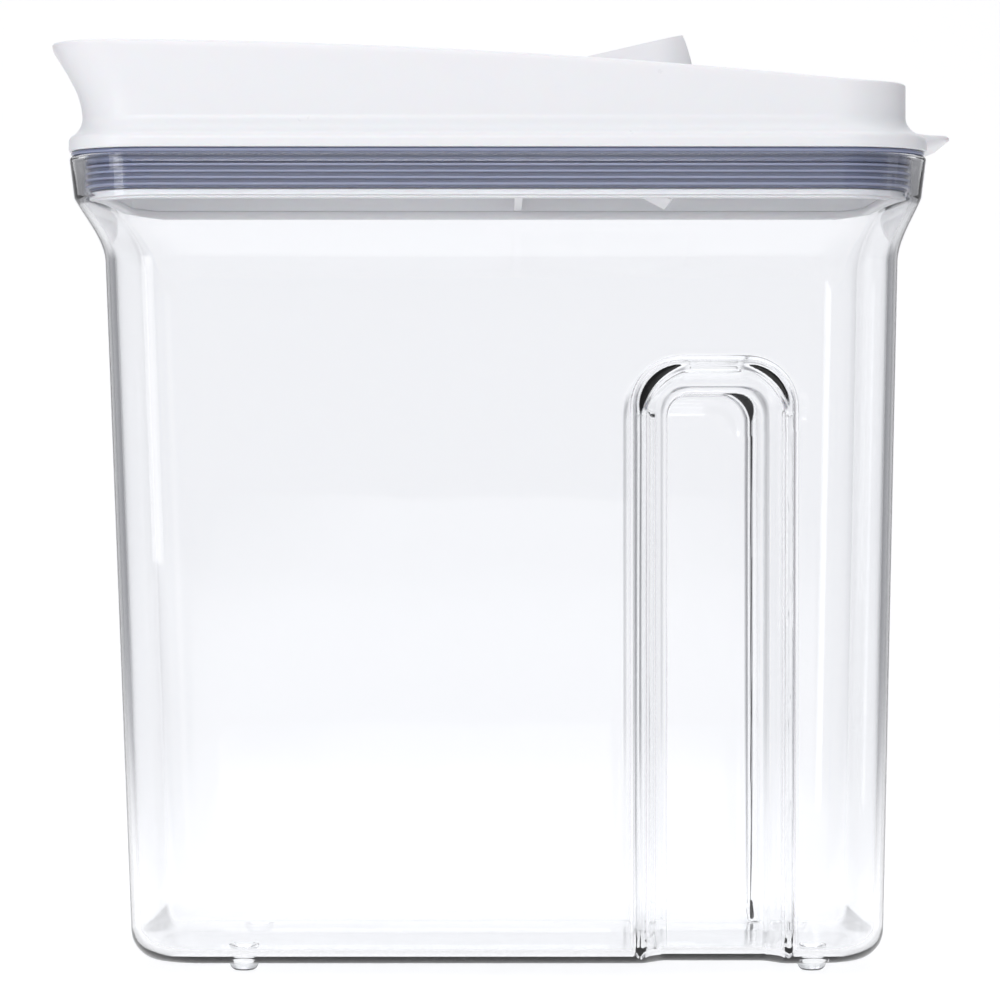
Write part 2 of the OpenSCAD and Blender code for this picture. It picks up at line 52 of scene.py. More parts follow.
neck_low, neck_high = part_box("container")
rim_top = neck_high[2]
rim_round = 0.0008
neck_top = rim_top - rim_round
neck_wall = 0.0034
neck_height = 0.0105
neck_foot_height = rim_top - neck_height
neck_taper = 0.0012
neck_corner = 0.022
shoulder_height = 0.0164
shoulder_foot = neck_foot_height - shoulder_height
shoulder_step = {"front": 0.0077, "back": 0.0058, "side": 0.0036}
body_wall = 0.0024
body_corner = 0.020
body_draft = {"front": 0.0063, "back": 0.0034, "side": 0.0026}
base_height = 0.0024
base_radius = 0.008
floor_thickness = 0.003


class Outline:
    """A plan outline with round corners: its ends along X, half its width and its corner radii."""

    corner_steps = 14
    end_steps = 8

    def __init__(self, front, back, half, front_corner, back_corner):
        self.front, self.back, self.half = front, back, half
        self.front_corner, self.back_corner = front_corner, back_corner

    def grown(self, d):
        return Outline(self.front - d, self.back + d, self.half + d,
                       self.front_corner + d, self.back_corner + d)

    def towards(self, other, share):
        def between(a, b):
            return a + (b - a) * share
        return Outline(between(self.front, other.front), between(self.back, other.back),
                       between(self.half, other.half), between(self.front_corner, other.front_corner),
                       between(self.back_corner, other.back_corner))

    def points(self, shares, back_ys=None, bow=0.0):
        """Points round the outline, anticlockwise from the near front corner; `bow` rounds the front end."""
        start, end = self.front + self.front_corner, self.back - self.back_corner
        half, fc, bc = self.half, self.front_corner, self.back_corner
        xs = [start + (end - start) * s for s in shares]

        def arc(cx, cy, r, first):
            turns = [math.radians(first + 90.0 * i / self.corner_steps) for i in range(1, self.corner_steps)]
            return [(cx + r * math.cos(a), cy + r * math.sin(a)) for a in turns]

        across = [-1 + 2 * i / self.end_steps for i in range(self.end_steps + 1)]
        ring = [(x, -half) for x in xs]
        ring += arc(end, bc - half, bc, -90)
        ring += [(self.back, y * (half - bc)) for y in back_ys or across]
        ring += arc(end, half - bc, bc, 0)
        ring += [(x, half) for x in reversed(xs)]
        ring += arc(start, half - fc, fc, 90)
        ring += [(self.front - bow * (1 - y ** 2), y * (half - fc)) for y in reversed(across)]
        ring += arc(start, fc - half, fc, 180)
        return ring


def shade_smooth(mesh, crisp):
    """Smooth shading, broken where an edge turns by more than `crisp` degrees."""
    mesh.polygons.foreach_set("use_smooth", [True] * len(mesh.polygons))
    mesh.set_sharp_from_angle(angle=math.radians(crisp))


def even_normals(piece):
    """Large flat faces keep their own normals, so they show no gradient."""
    keep = piece.modifiers.new("even normals", "WEIGHTED_NORMAL")
    keep.keep_sharp = True
    keep.weight = 80


def piece_from(name, rings, faces, body, crisp):
    """A smooth mesh piece, made of rings of points and the faces between them, that rides on a body."""
    mesh = bpy.data.meshes.new(name)
    mesh.from_pydata([tuple(v) for ring in rings for v in ring], [], faces)
    mesh.validate()
    bm = bmesh.new()
    bm.from_mesh(mesh)
    bmesh.ops.recalc_face_normals(bm, faces=bm.faces)
    bm.to_mesh(mesh)
    bm.free()
    shade_smooth(mesh, crisp)
    piece = bpy.data.objects.new(name, mesh)
    bpy.context.collection.objects.link(piece)
    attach(piece, body)
    return piece


def skin_faces(rings, looped=False):
    """Faces between neighbouring rings of points; `looped` also joins the last ring to the first."""
    size = len(rings[0])
    faces = []
    for k in range(len(rings) if looped else len(rings) - 1):
        low, high = k * size, (k + 1) % len(rings) * size
        for i in range(size):
            j = (i + 1) % size
            faces.append((low + i, low + j, high + j, high + i))
    return faces


def capped_faces(rings):
    """The skin over the rings, closed by one face on the first ring and one on the last."""
    size = len(rings[0])
    last = (len(rings) - 1) * size
    return skin_faces(rings) + [tuple(reversed(range(size))), tuple(last + i for i in range(size))]


neck_outer = Outline(neck_low[0], neck_high[0], neck_high[1], neck_corner, neck_corner)
neck_inner = neck_outer.grown(-neck_wall)
neck_foot = neck_outer.grown(-neck_taper)
body_top = Outline(neck_foot.front + shoulder_step["front"], neck_foot.back - shoulder_step["back"],
                   neck_foot.half - shoulder_step["side"], body_corner, body_corner)
body_foot = Outline(body_top.front + body_draft["front"], body_top.back - body_draft["back"],
                    body_top.half - body_draft["side"], body_corner, body_corner)

grip_depth = 0.008
grip_slope = 0.0068
grip_corner = 0.013
grip_width = 0.0374
grip_from_back = 0.0284
grip_below_rim = 0.0528
grip_margin = 0.004
grip_back = body_top.back - grip_from_back
grip_front = grip_back - grip_width
grip_top = rim_top - grip_below_rim


def eased(share):
    """0 to 1 with a short round start and finish, as a moulded edge has."""
    share = min(1.0, max(0.0, share))
    soft = 0.3
    if share < soft:
        return share * share / (2 * soft) / (1 - soft)
    if share > 1 - soft:
        return 1 - (1 - share) ** 2 / (2 * soft) / (1 - soft)
    return (share - soft / 2) / (1 - soft)


def recess_depth(x, z, skin):
    """How far the finger recess sets the side in at a place; `skin` is the wall's thickness on the inside."""
    front, back, top = grip_front - skin, grip_back + skin, grip_top + skin
    from_edge = min(x - front, back - x)
    from_top = top - z
    if from_edge < grip_corner and from_top < grip_corner:
        from_edge = grip_corner - math.hypot(grip_corner - from_edge, grip_corner - from_top)
    else:
        from_edge = min(from_edge, from_top)
    return grip_depth * eased(from_edge / grip_slope)


def side_shares():
    """Stations along a long side, close together from the finger recess on."""
    plain_steps, close_steps = 14, 96
    start, end = body_top.front + body_corner, body_top.back - body_corner
    close_start = grip_front - grip_margin
    plain = [start + (close_start - start) * i / plain_steps for i in range(plain_steps)]
    close = [close_start + (end - close_start) * i / close_steps for i in range(close_steps + 1)]
    return [(x - start) / (end - start) for x in plain + close]


def shoulder_share(t):
    """The shoulder's curve: a quarter wave, a little softer where it leaves the neck."""
    softness = 0.25
    return (1 - softness) * math.sin(math.radians(90 * t)) + softness * t * t * (3 - 2 * t)


def container_rings(base, top, neck, mouth, skin, floor, radius):
    """Rings up one face of the wall, from the flat of the base to the rim."""
    base_steps, side_steps, grip_steps, shoulder_steps = 12, 10, 42, 20
    neck_stations = (0.06, 0.5, 1)
    shares = side_shares()
    levels = []
    for i in range(base_steps + 1):
        turn = math.radians(90 * i / base_steps)
        levels.append((base.grown(-radius * (1 - math.sin(turn))),
                       floor + radius * (1 - math.cos(turn))))
    side_foot = floor + radius
    grip_start, grip_end = grip_top - grip_corner - grip_margin, grip_top + grip_margin
    heights = [side_foot + (grip_start - side_foot) * i / side_steps for i in range(1, side_steps)]
    heights += [grip_start + (grip_end - grip_start) * i / grip_steps for i in range(grip_steps + 1)]
    levels += [(base.towards(top, (z - side_foot) / (shoulder_foot - side_foot)), z) for z in heights]
    for i in range(shoulder_steps + 1):
        rise = i / shoulder_steps
        levels.append((neck.towards(top, shoulder_share(1 - rise)), shoulder_foot + shoulder_height * rise))
    levels += [(neck.towards(mouth, s), neck_foot_height + (neck_top - neck_foot_height) * s)
               for s in neck_stations]
    rings = []
    for outline, z in levels:
        ring = []
        for x, y in outline.points(shares):
            sunk = outline.half - recess_depth(x, z, skin)
            ring.append(Vector((x, math.copysign(min(abs(y), sunk), y), z)))
        rings.append(ring)
    return rings


def rim_rings():
    """Rings over the rim, from the outer face of the neck to the inner one: flat with soft edges."""
    steps, fullness = 8, 1.6
    middle = neck_outer.grown(-neck_wall / 2)
    rings = []
    for step in range(1, steps):
        turn = math.radians(180 * step / steps)
        z = neck_top + rim_round * min(1.0, fullness * math.sin(turn))
        outline = middle.grown(neck_wall / 2 * math.cos(turn))
        rings.append([Vector((x, y, z)) for x, y in outline.points(side_shares())])
    return rings


outer_rings = container_rings(body_foot, body_top, neck_foot, neck_outer, 0, base_height, base_radius)
inner_rings = container_rings(body_foot.grown(-body_wall), body_top.grown(-body_wall), neck_inner, neck_inner,
                              body_wall, base_height + floor_thickness, base_radius - body_wall)
container_skin = outer_rings + rim_rings() + list(reversed(inner_rings))
container_crisp = 50
container = piece_from("clear_container", container_skin, capped_faces(container_skin),
                       "body", container_crisp)
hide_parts("container")

nub_radius, nub_flat = 0.0038, 0.0018
nub_sink = 0.0008
nub_from_side, nub_from_front, nub_from_back = 0.016, 0.029, 0.0185
nub_sides, nub_steps = 28, 6


def nub_rings(x, y):
    """A dome that hangs from the flat of the base and sinks a little into its skin."""
    profile = [(nub_flat, 0.0)]
    for i in range(1, nub_steps + 1):
        turn = math.radians(90 * i / nub_steps)
        profile.append((nub_flat + (nub_radius - nub_flat) * math.sin(turn),
                        base_height * (1 - math.cos(turn))))
    profile.append((nub_radius, base_height + nub_sink))
    turns = [math.radians(360 * i / nub_sides) for i in range(nub_sides)]
    return [[(x + r * math.cos(a), y + r * math.sin(a), z) for a in turns] for r, z in profile]


def join_nub(x, y):
    """A nub, joined into the container's skin."""
    rings = nub_rings(x, y)
    mesh = bpy.data.meshes.new("nub")
    mesh.from_pydata([v for ring in rings for v in ring], [], capped_faces(rings))
    nub = bpy.data.objects.new("nub", mesh)
    bpy.context.collection.objects.link(nub)
    join = container.modifiers.new("nub", "BOOLEAN")
    join.operation, join.object, join.solver = "UNION", nub, "EXACT"
    bpy.context.view_layer.objects.active = container
    bpy.ops.object.modifier_apply(modifier=join.name)
    bpy.data.objects.remove(nub)


for nub_x in (body_foot.front + nub_from_front, body_foot.back - nub_from_back):
    for side in (-1, 1):
        join_nub(nub_x, side * (body_foot.half - nub_from_side))
shade_smooth(container.data, container_crisp)
even_normals(container)


def plastic(name, colour, roughness, waviness, grain):
    """Moulded plastic: an even colour, slightly uneven gloss and the faint waviness of a polished mould."""
    glossiest, dullest = roughness * 0.8, roughness * 1.25
    wave_scale, wave_height = 28, 0.001
    material = bpy.data.materials.new(name)
    material.use_nodes = True
    nodes, links = material.node_tree.nodes, material.node_tree.links
    shader = nodes["Principled BSDF"]
    shader.inputs["Base Color"].default_value = (*colour, 1)
    place = nodes.new("ShaderNodeTexCoord")
    gloss = nodes.new("ShaderNodeTexNoise")
    gloss.inputs["Scale"].default_value = grain
    gloss.inputs["Detail"].default_value = 4
    spread = nodes.new("ShaderNodeMapRange")
    spread.inputs["To Min"].default_value = glossiest
    spread.inputs["To Max"].default_value = dullest
    links.new(place.outputs["Object"], gloss.inputs["Vector"])
    links.new(gloss.outputs["Fac"], spread.inputs["Value"])
    links.new(spread.outputs["Result"], shader.inputs["Roughness"])
    wave = nodes.new("ShaderNodeTexNoise")
    wave.inputs["Scale"].default_value = wave_scale
    wave.inputs["Detail"].default_value = 1
    bump = nodes.new("ShaderNodeBump")
    bump.inputs["Strength"].default_value = waviness
    bump.inputs["Distance"].default_value = wave_height
    links.new(place.outputs["Object"], wave.inputs["Vector"])
    links.new(wave.outputs["Fac"], bump.inputs["Height"])
    links.new(bump.outputs["Normal"], shader.inputs["Normal"])
    return material


clear_plastic = plastic("clear plastic", (0.973, 0.977, 0.985), roughness=0.015, waviness=0.02, grain=90)
clear_nodes, clear_links = clear_plastic.node_tree.nodes, clear_plastic.node_tree.links
clear_shader = clear_nodes["Principled BSDF"]
clear_shader.inputs["Transmission Weight"].default_value = 1.0
clear_shader.inputs["IOR"].default_value = 1.49
# Lamps shine through the wall, as they do through thin clear plastic.
ray = clear_nodes.new("ShaderNodeLightPath")
lets_light_in = clear_nodes.new("ShaderNodeBsdfTransparent")
lets_light_in.inputs["Color"].default_value = (0.95, 0.955, 0.96, 1)
wall_mix = clear_nodes.new("ShaderNodeMixShader")
clear_links.new(ray.outputs["Is Shadow Ray"], wall_mix.inputs["Fac"])
clear_links.new(clear_shader.outputs["BSDF"], wall_mix.inputs[1])
clear_links.new(lets_light_in.outputs["BSDF"], wall_mix.inputs[2])
clear_links.new(wall_mix.outputs["Shader"], clear_nodes["Material Output"].inputs["Surface"])
container.data.materials.clear()
container.data.materials.append(clear_plastic)


# ---------------------------------------------------------------------------
# Neck gasket
# A slate blue silicone moulding stretched round the lid's plug. Its cushion lies
# on the container's rim and its four ribs wipe the inside of the neck.
# ---------------------------------------------------------------------------

gasket_low, gasket_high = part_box("neck_gasket")
gasket_top, gasket_bottom = gasket_high[2], gasket_low[2]
cushion = 0.0012
cushion_nose = 0.0006
rib_count = 4
rib_pitch = 0.0016
rib_height = 0.0009
rib_half_thickness = 0.0005
rib_gap = 0.0003
first_rib = gasket_bottom + 0.6 * rib_pitch
land_proud, land_top_proud = 0.0008, 0.0005
land_edge = 0.0002
plug_space = 0.0028
plug_clearance = 0.00012
few_shares = [i / 12 for i in range(13)]


def swept_band(name, profile, body, crisp):
    """A closed band: each profile point is an outline and a height, and the last joins the first."""
    rings = [[Vector((x, y, z)) for x, y in outline.points(few_shares)] for outline, z in profile]
    return piece_from(name, rings, skin_faces(rings, looped=True), body, crisp)


def gasket_profile():
    """Up the ribs and the land above them, round the cushion's nose and down the inside."""
    rib_steps, nose_steps = 8, 6
    root = neck_inner.grown(-rib_gap - rib_height)
    profile = [(root, gasket_bottom)]
    for k in range(rib_count):
        middle = first_rib + k * rib_pitch
        for i in range(rib_steps + 1):
            turn = math.radians(-90 + 180 * i / rib_steps)
            profile.append((root.grown(rib_height * math.cos(turn)),
                            middle + rib_half_thickness * math.sin(turn)))
    under = gasket_top - cushion
    land_foot = first_rib + (rib_count - 0.5) * rib_pitch
    profile += [(root.grown(land_proud), land_foot), (root.grown(land_proud), land_foot + land_edge),
                (root.grown(land_top_proud), under - land_edge), (root.grown(land_proud), under)]
    lip = neck_outer.grown(-rib_gap)
    for i in range(nose_steps + 1):
        turn = math.radians(-90 + 180 * i / nose_steps)
        profile.append((lip.grown(cushion_nose * (math.cos(turn) - 1)),
                        under + cushion / 2 + cushion / 2 * math.sin(turn)))
    hug = neck_inner.grown(plug_clearance - plug_space)
    return profile + [(hug, gasket_top), (hug, gasket_bottom)]


neck_gasket = swept_band("silicone_neck_gasket", gasket_profile(), "lid", crisp=55)
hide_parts("neck_gasket")
even_normals(neck_gasket)

# Painted shade and highlight: the darker slate is painted shade in the grooves, the paler slate a painted
# highlight on the crests.
slate_with_painted_groove_shade = (0.115, 0.137, 0.235)
slate_with_painted_crest_highlight = (0.28, 0.31, 0.46)
slate_silicone = plastic("slate silicone", slate_with_painted_groove_shade, roughness=0.22, waviness=0.015, grain=700)
slate_nodes, slate_links = slate_silicone.node_tree.nodes, slate_silicone.node_tree.links
slate_shader = slate_nodes["Principled BSDF"]
slate_shader.inputs["IOR"].default_value = 1.43
slate_shader.inputs["Coat Weight"].default_value = 1.0
slate_shader.inputs["Coat Roughness"].default_value = 0.1
slate_shader.inputs["Subsurface Weight"].default_value = 0.08
slate_shader.inputs["Subsurface Scale"].default_value = 0.002
# Painted highlight and shade: the ribs' crests are painted paler and the grooves between them darker,
# in place of light and shade on the ribs. The wave has one band to each rib, and at scale 1 it would turn 20
# radians in a metre.
wave_rate = 20
slate_place = slate_nodes.new("ShaderNodeTexCoord")
ribs = slate_nodes.new("ShaderNodeTexWave")
ribs.wave_type, ribs.bands_direction = "BANDS", "Z"
ribs.inputs["Scale"].default_value = 2 * math.pi / (wave_rate * rib_pitch)
ribs.inputs["Phase Offset"].default_value = math.pi - 2 * math.pi * first_rib / rib_pitch
painted_rib_light = slate_nodes.new("ShaderNodeValToRGB")
for stop, position, slate in zip(painted_rib_light.color_ramp.elements, (0.3, 1.0), (slate_with_painted_groove_shade, slate_with_painted_crest_highlight)):
    stop.position, stop.color = position, (*slate, 1)
slate_links.new(slate_place.outputs["Object"], ribs.inputs["Vector"])
slate_links.new(ribs.outputs["Fac"], painted_rib_light.inputs["Fac"])
slate_links.new(painted_rib_light.outputs["Color"], slate_shader.inputs["Base Color"])
neck_gasket.data.materials.append(slate_silicone)


# ---------------------------------------------------------------------------
# Gasket retainer
# A white ring welded to the foot of the plug. It stops the gasket from rolling
# off, and shows as a white band with a fine step below the ribs.
# ---------------------------------------------------------------------------

retainer_low, retainer_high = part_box("gasket_retainer")
retainer_bottom, retainer_top = retainer_low[2], retainer_high[2]
retainer_corner = neck_corner - neck_wall - 0.0016
retainer_outer = Outline(retainer_low[0], retainer_high[0], retainer_high[1],
                         retainer_corner, retainer_corner)
retainer_edge = 0.0003
foot_chamfer = 0.0002
step_set_in, step_height, step_round = 0.0006, 0.0006, 0.0001
plug_wall = 0.0024
plug_inner = neck_inner.grown(-plug_space - plug_wall)


def retainer_profile():
    """Up the foot, the fine step and the band, and down the inside."""
    soft = retainer_edge
    step_top = retainer_bottom + step_height
    foot = retainer_outer.grown(-step_set_in)
    outer_edge, inner_edge = retainer_outer.grown(-soft), plug_inner.grown(soft)
    return [(foot.grown(-soft), retainer_bottom), (foot, retainer_bottom + foot_chamfer),
            (foot, step_top), (outer_edge, step_top + step_round), (retainer_outer, step_top + soft),
            (retainer_outer, retainer_top - soft), (outer_edge, retainer_top),
            (inner_edge, retainer_top), (plug_inner, retainer_top - soft),
            (plug_inner, retainer_bottom + soft), (inner_edge, retainer_bottom)]


gasket_retainer = swept_band("retainer_ring", retainer_profile(), "lid", crisp=50)
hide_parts("gasket_retainer")
white_plastic = plastic("white plastic", (0.87, 0.868, 0.888), roughness=0.3, waviness=0.01, grain=240)
white_shader = white_plastic.node_tree.nodes["Principled BSDF"]
white_shader.inputs["IOR"].default_value = 1.5
white_shader.inputs["Subsurface Weight"].default_value = 0.1
white_shader.inputs["Subsurface Scale"].default_value = 0.003
gasket_retainer.data.materials.append(white_plastic)


# ---------------------------------------------------------------------------
# Lid frame
# The white moulding inside the lid: the plug, the flange, the throat's wall, the
# deck behind the flap, the thumb well and the ears that hold the hinge pins.
# ---------------------------------------------------------------------------

def softened_copy(node, name, body, radius):
    """The plain moulding with its sharp edges rounded, as they leave a mould."""
    same_place, flat_enough, sharp_enough, crisp = 1e-6, 0.6, 32, 60
    mesh = bpy.data.objects[node].data.copy()
    mesh.name = name
    bm = bmesh.new()
    bm.from_mesh(mesh)
    bmesh.ops.remove_doubles(bm, verts=bm.verts, dist=same_place)
    bmesh.ops.dissolve_limit(bm, angle_limit=math.radians(flat_enough), verts=bm.verts, edges=bm.edges)
    bm.to_mesh(mesh)
    bm.free()
    mesh.materials.clear()
    shade_smooth(mesh, crisp)
    piece = bpy.data.objects.new(name, mesh)
    bpy.context.collection.objects.link(piece)
    soft = piece.modifiers.new("moulded edges", "BEVEL")
    soft.width = radius
    soft.segments = 3
    soft.limit_method = "ANGLE"
    soft.angle_limit = math.radians(sharp_enough)
    soft.miter_outer = "MITER_ARC"
    soft.harden_normals = False
    even_normals(piece)
    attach(piece, body)
    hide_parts(node)
    return piece


lid_frame = softened_copy("lid_frame", "deck_and_plug", "lid", radius=0.0004)
lid_frame.data.materials.append(white_plastic)


# ---------------------------------------------------------------------------
# Lid shell
# The white outer moulding: a band over the rim, a hollow, an upright wall whose
# long crown falls towards the pull tab, and the flared, bowed lip of the spout.
# ---------------------------------------------------------------------------

shell_low, shell_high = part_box("lid_shell")
lid_bottom, spout_tip, tab_tip = shell_low[2], shell_low[0], shell_high[0]
crown_top = shell_high[2]
crown_radius = 2.05
crown_from_back = 0.018
crown_end = neck_high[0] - crown_from_back
crown_ease = 0.006
lid_wall = 0.0022
lid_edge = 0.0007
band_edge, band_edge_middle = 0.0004, 0.00015
band_height = 0.0035
band_round = 0.0014
hollow_radius = 0.0055
wall_set_in = {"front": 0.0035, "back": 0.0054, "side": 0.004}
lid_overhang = 0.0002
lid_rim = neck_outer.grown(lid_overhang)
lid_side = Outline(lid_rim.front + wall_set_in["front"], lid_rim.back - wall_set_in["back"],
                   lid_rim.half - wall_set_in["side"], lid_rim.front_corner - wall_set_in["side"],
                   lid_rim.back_corner - wall_set_in["side"])
hollow_turn = math.acos(1 - wall_set_in["front"] / hollow_radius)
wall_foot = lid_bottom + band_height + hollow_radius * math.sin(hollow_turn)
spout_drop = 0.0012
spout_foot = wall_foot - spout_drop
spout_radius, spout_turn = 0.021, math.radians(28)
spout_bow = 0.0017
lip_flare = lid_side.front - spout_tip - spout_bow


def crown_height(x):
    """The top of the wall: a long arc that eases to level at the tab end."""
    ease_start = crown_end - crown_ease
    if x > ease_start:
        x = ease_start + crown_ease * math.tanh((x - ease_start) / crown_ease)
    return crown_top - crown_radius + math.sqrt(crown_radius ** 2 - (x - spout_tip) ** 2)


def lean_out(rise):
    """How far the spout's wall has leaned out at a rise above its foot: an arc, then a straight."""
    def bend(h):
        run = spout_radius * math.sin(spout_turn)
        if h <= 0:
            return 0.0
        if h < run:
            return spout_radius - math.sqrt(spout_radius ** 2 - h * h)
        return spout_radius * (1 - math.cos(spout_turn)) + (h - run) * math.tan(spout_turn)
    return lip_flare * bend(rise) / bend(crown_top - spout_foot)


tab_half_width = 0.030
tab_corner = 0.0085
tab_lip = 0.0015
tab_root = 0.004
tab_root_round = 0.0003
tab_height = 0.0055
tab_top = lid_bottom + tab_height
tab_reach = tab_tip - lid_rim.back
# Stations along the sides, and across the lid's end, where they close up round the tab's corners.
long_shares = [i / 30 for i in range(31)]
across_end = lid_side.half - lid_side.back_corner
tab_shares = [i / 8 for i in range(6)]
tab_shares += [0.7 + 0.3 * math.sin(math.radians(90 * i / 14)) for i in range(15)]
beside_tab = {-1.0, -0.9, -0.8, 0.8, 0.9, 1.0}
tab_ys = sorted(beside_tab | {round(side * share * tab_half_width / across_end, 5)
                              for side in (-1, 1) for share in tab_shares})


def along(path, count):
    """`count` points spread evenly along a path of points."""
    lengths = [0.0]
    for a, b in zip(path, path[1:]):
        lengths.append(lengths[-1] + math.dist(a, b))
    spread = []
    for i in range(count):
        want = lengths[-1] * i / (count - 1)
        k = max(j for j in range(len(path) - 1) if lengths[j] <= want + 1e-12)
        t = min(1.0, (want - lengths[k]) / (lengths[k + 1] - lengths[k]))
        spread.append(tuple(a + (b - a) * t for a, b in zip(path[k], path[k + 1])))
    return spread


def plain_foot():
    """The band, its round edge and the hollow as (share of the way in from band to wall, height)."""
    band_steps, round_steps, hollow_steps = 5, 8, 16

    def hollow(turn):
        share = 1 - (1 - math.cos(turn)) / (1 - math.cos(hollow_turn))
        return share, wall_foot - hollow_radius * math.sin(turn)

    band_foot, band_top = lid_bottom + band_edge, lid_bottom + band_height
    round_foot = band_top - band_round
    path = [(0.0, band_foot + (round_foot - band_foot) * i / band_steps) for i in range(band_steps + 1)]
    past_round = hollow_turn - band_round / hollow_radius
    end, end_z = hollow(past_round)
    for i in range(1, round_steps + 1):
        t = i / round_steps
        path.append((t * t * end, (1 - t) ** 2 * round_foot + 2 * t * (1 - t) * band_top + t * t * end_z))
    return path + [hollow(past_round * (1 - i / hollow_steps)) for i in range(1, hollow_steps + 1)]


def tab_foot():
    """The same stretch at the pull tab, in as many points, as (distance out from the wall, height)."""
    depth = lid_rim.back - lid_side.back
    reach = depth + tab_reach
    lip_radius = tab_lip / 2
    lip_middle = tab_top - lip_radius
    root_z = tab_top - tab_root
    band = along([(depth, lid_bottom + band_edge), (depth, root_z - tab_root_round)], count=6)
    under = along([(depth + tab_root_round, root_z), (reach - lip_radius, tab_top - tab_lip)], count=7)
    nose_turns = [math.radians(a) for a in (36, 72, 108, 144)]
    nose = [(reach - lip_radius + lip_radius * math.sin(a), lip_middle - lip_radius * math.cos(a))
            for a in nose_turns]
    over = along([(reach - lip_radius, tab_top), (depth, tab_top)], count=6)
    sweep_turns = [math.radians(a) for a in (13, 26, 39, 52, 65, 78, 90)]
    sweep = [(depth * (1 - math.sin(a)), tab_top + (wall_foot - tab_top) * (1 - math.cos(a)))
             for a in sweep_turns]
    return band + under + nose + over + sweep


def tab_share(y):
    """How much of the tab's reach there is at a place across the lid's end."""
    straight = tab_half_width - tab_corner
    if abs(y) >= tab_half_width:
        return 0.0
    if abs(y) <= straight:
        return 1.0
    return math.sqrt(1 - ((abs(y) - straight) / tab_corner) ** 2)


def foot_rings(skin):
    """The band, the hollow and the pull tab, bottom to top; inside, at `skin`, there is no tab."""
    rings = []
    for (share, plain_z), (out, tab_z) in zip(plain_foot(), tab_foot()):
        outline = lid_rim.towards(lid_side, share).grown(-skin)
        ring = []
        for x, y in outline.points(long_shares, back_ys=tab_ys):
            z = plain_z
            at_end = abs(x - outline.back) < 1e-9
            if at_end and not skin:
                w = tab_share(y)
                x += (lid_side.back + out - x) * w
                z += (tab_z - plain_z) * w
            ring.append(Vector((x, y, z)))
        rings.append(ring)
    return rings


def wall_ring(up, skin, below):
    """One ring of the wall, `up` of the way to the level that lies `below` the crown."""
    out = lean_out(wall_foot + (crown_top - wall_foot) * up - spout_foot)
    side = lid_side.grown(-skin)
    outline = Outline(side.front - out, side.back, side.half, side.front_corner, side.back_corner)
    return [Vector((x, y, wall_foot + (crown_height(x) - below - wall_foot) * up))
            for x, y in outline.points(long_shares, back_ys=tab_ys, bow=spout_bow * out / lip_flare)]


def bottom_ring(inset, lift=0.0):
    """A ring of the band's lower edge, set in from the band and lifted off its bottom."""
    return [Vector((x, y, lid_bottom + lift))
            for x, y in lid_rim.grown(-inset).points(long_shares, back_ys=tab_ys)]


def top_edge_rings():
    """Rings over the wall's round top, from the outer face to the inner one."""
    steps = 10
    turns = [math.radians(180 * step / steps) for step in range(1, steps)]
    return [wall_ring(1, lid_wall / 2 * (1 - math.cos(a)), lid_edge * (1 - math.sin(a))) for a in turns]


wall_steps = 14
shell_rings = [bottom_ring(band_edge), bottom_ring(band_edge_middle, lift=band_edge / 4)]
shell_rings += foot_rings(0)
shell_rings += [wall_ring(i / wall_steps, 0, lid_edge) for i in range(1, wall_steps + 1)]
shell_rings += top_edge_rings()
shell_rings += [wall_ring(i / wall_steps, lid_wall, lid_edge) for i in range(wall_steps, 0, -1)]
shell_rings += list(reversed(foot_rings(lid_wall)))
shell_rings.append(bottom_ring(lid_wall))
lid_shell = piece_from("spouted_shell", shell_rings, skin_faces(shell_rings, looped=True),
                       "lid", crisp=70)
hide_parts("lid_shell")
lid_shell.data.materials.append(white_plastic)


# ---------------------------------------------------------------------------
# Flap
# The white rocker: its long front closes the throat, its barrel turns on two pins
# and its hollow wedge is the thumb tab. A second white moulding under it, the
# plug, carries the slate blue spout gasket in a groove.
# ---------------------------------------------------------------------------

flap_cover = softened_copy("flap_cover", "rocker_flap", "flap", radius=0.0008)
flap_cover.data.materials.append(white_plastic)
flap_plug = softened_copy("flap_plug", "throat_plug", "flap", radius=0.0003)
flap_plug.data.materials.append(white_plastic)
spout_gasket = softened_copy("spout_gasket", "throat_gasket", "flap", radius=0.0002)
spout_gasket.data.materials.append(slate_silicone)


# ---------------------------------------------------------------------------
# Hinge pins
# Two short lengths of bright drawn steel wire, pressed into the frame's ears.
# The die that drew the wire leaves its gloss faintly uneven.
# ---------------------------------------------------------------------------

pin_steel = bpy.data.materials.new("drawn steel")
pin_steel.use_nodes = True
steel_nodes, steel_links = pin_steel.node_tree.nodes, pin_steel.node_tree.links
steel_shader = steel_nodes["Principled BSDF"]
steel_shader.inputs["Base Color"].default_value = (0.62, 0.62, 0.64, 1)
steel_shader.inputs["Metallic"].default_value = 1.0
drawn = steel_nodes.new("ShaderNodeTexNoise")
drawn.inputs["Scale"].default_value = 900
draw_marks = steel_nodes.new("ShaderNodeMapRange")
draw_marks.inputs["To Min"].default_value = 0.22
draw_marks.inputs["To Max"].default_value = 0.38
steel_links.new(drawn.outputs["Fac"], draw_marks.inputs["Value"])
steel_links.new(draw_marks.outputs["Result"], steel_shader.inputs["Roughness"])
for pin in ("hinge_pin_near", "hinge_pin_far"):
    bpy.data.objects[pin].data.materials.clear()
    bpy.data.objects[pin].data.materials.append(pin_steel)


# ---------------------------------------------------------------------------
# Studio
# One wide sheet of white paper lies under the container and rises behind it. Soft
# lights stand above, in front and at both sides, and a long lens looks level at it.
# ---------------------------------------------------------------------------

